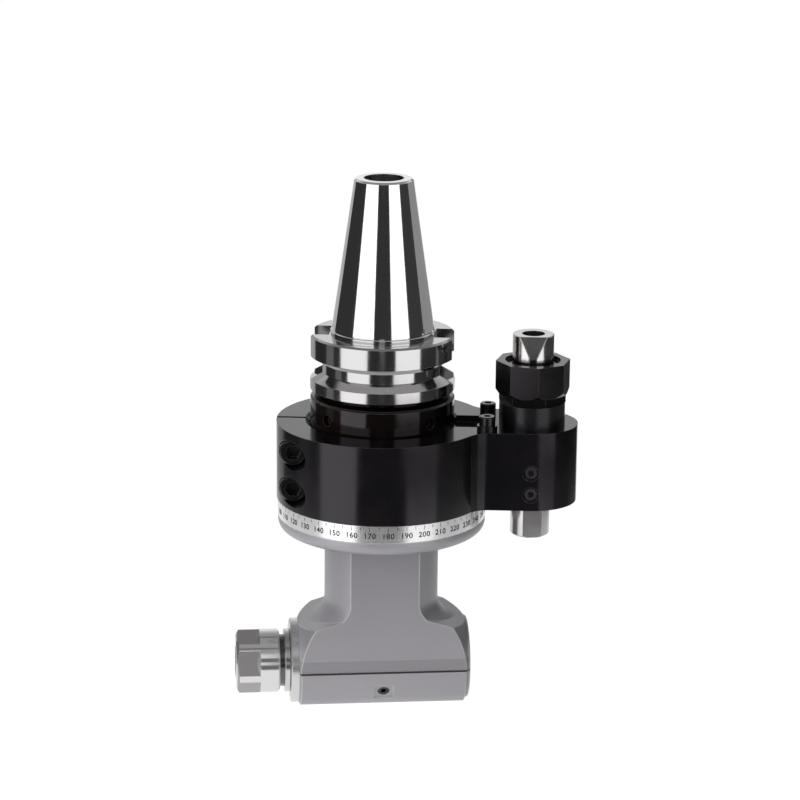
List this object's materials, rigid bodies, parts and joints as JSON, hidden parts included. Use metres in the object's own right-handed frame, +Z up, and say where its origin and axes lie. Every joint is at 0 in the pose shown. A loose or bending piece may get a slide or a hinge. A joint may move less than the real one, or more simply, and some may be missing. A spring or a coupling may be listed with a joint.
{
  "type": "right angle milling head",
  "caption": "Right angle milling head on a 7/24 taper shank, with a swivel ring, a sprung locating pin and a collet spindle driven through bevel gears.",
  "frame": {"origin": "centre of the shank's gauge plane, on the input axis", "axes": "+Z up along the shank's axis, out of the machine's spindle end; the output spindle's nose points along -X"},
  "size_m": [0.1489, 0.092, 0.2369],
  "materials": {
    "polished_steel": "polished",
    "ground_steel": "ground",
    "collar_black": "oiled black oxide",
    "ring_black": "satin black oxide",
    "housing_grey": "fine blasted",
    "scale_steel": "satin",
    "nut_steel": "ground",
    "bearing_steel": "ground",
    "ball_steel": "polished",
    "gear_steel": "machined",
    "seal_rubber": "matte",
    "screw_black": "black oxide",
    "spring_steel": "drawn"
  },
  "bodies": {
    "head": {"housing": "housing_grey", "cartridge": "ground_steel", "cartridge_screws": "screw_black", "scale_ring": "scale_steel", "bearing_collar": "collar_black", "shaft_seal": "seal_rubber", "upper_bearing_outer": "bearing_steel", "lower_bearing_outer": "bearing_steel", "pilot_bearing_outer": "bearing_steel", "port_plug": "screw_black", "nose_cover": "ground_steel", "nose_seal": "seal_rubber", "end_cap": "housing_grey", "bearing_clip": "spring_steel", "nose_bearing_outers": "bearing_steel", "tail_bearing_outer": "bearing_steel"},
    "input_shaft": {"taper_shank": "polished_steel", "drive_gear": "gear_steel", "drive_gear_pin": "gear_steel", "shaft_lock_nut": "gear_steel", "shaft_spacer": "bearing_steel", "upper_bearing_inner": "bearing_steel", "upper_bearing_balls": "ball_steel", "lower_bearing_inner": "bearing_steel", "lower_bearing_balls": "ball_steel", "pilot_bearing_inner": "bearing_steel", "pilot_bearing_balls": "ball_steel"},
    "spindle": {"output_spindle": "ground_steel", "driven_gear": "gear_steel", "driven_gear_pin": "gear_steel", "spindle_lock_nut": "gear_steel", "tail_lock_nut": "gear_steel", "nose_ring": "ground_steel", "nose_bearing_inners": "bearing_steel", "nose_bearing_balls": "ball_steel", "tail_bearing_inner": "bearing_steel", "tail_bearing_balls": "ball_steel"},
    "collet": {"collet": "ground_steel"},
    "collet_nut": {"collet_nut": "nut_steel", "nut_ring": "spring_steel"},
    "swivel": {"swivel_ring": "ring_black", "pinch_screws": "screw_black", "arm_cap_screws": "screw_black", "arm_washer": "screw_black", "arm_set_screws": "screw_black", "guide_sleeve": "ring_black", "pin_jam_nut": "ring_black", "pin_nut": "ring_black", "pin_spring": "spring_steel"},
    "pin": {"locating_pin": "polished_steel", "pin_clip": "spring_steel"}
  },
  "joints": [
    {"name": "input_turn", "type": "hinge", "parent": "head", "child": "input_shaft", "pos_m": [0, 0, 0], "axis": [0, 0, 1], "continuous": true},
    {"name": "spindle_turn", "type": "hinge", "parent": "head", "child": "spindle", "pos_m": [0, 0, -0.1515], "axis": [-1, 0, 0], "continuous": true},
    {"name": "ring_swivel", "type": "hinge", "parent": "head", "child": "swivel", "pos_m": [0, 0, -0.0583], "axis": [0, 0, 1], "continuous": true},
    {"name": "pin_press", "type": "slide", "parent": "swivel", "child": "pin", "axis": [0, 0, 1], "range_m": [-0.008, 0], "stiffness_N_per_m": 3000, "springref_m": 0.008, "deforming": ["pin_spring"]},
    {"name": "collet_slide", "type": "slide", "parent": "spindle", "child": "collet", "axis": [-1, 0, 0], "range_m": [0, 0.003]},
    {"name": "nut_turn", "type": "hinge", "parent": "collet", "child": "collet_nut", "pos_m": [-0.055, 0, -0.1515], "axis": [-1, 0, 0], "range_deg": [0, 720]}
  ],
  "couplings": [
    {"joint": "spindle_turn", "follows": "input_turn", "ratio": 1},
    {"joint": "nut_turn", "follows": "collet_slide", "rad_per_m": 4188.8}
  ]
}
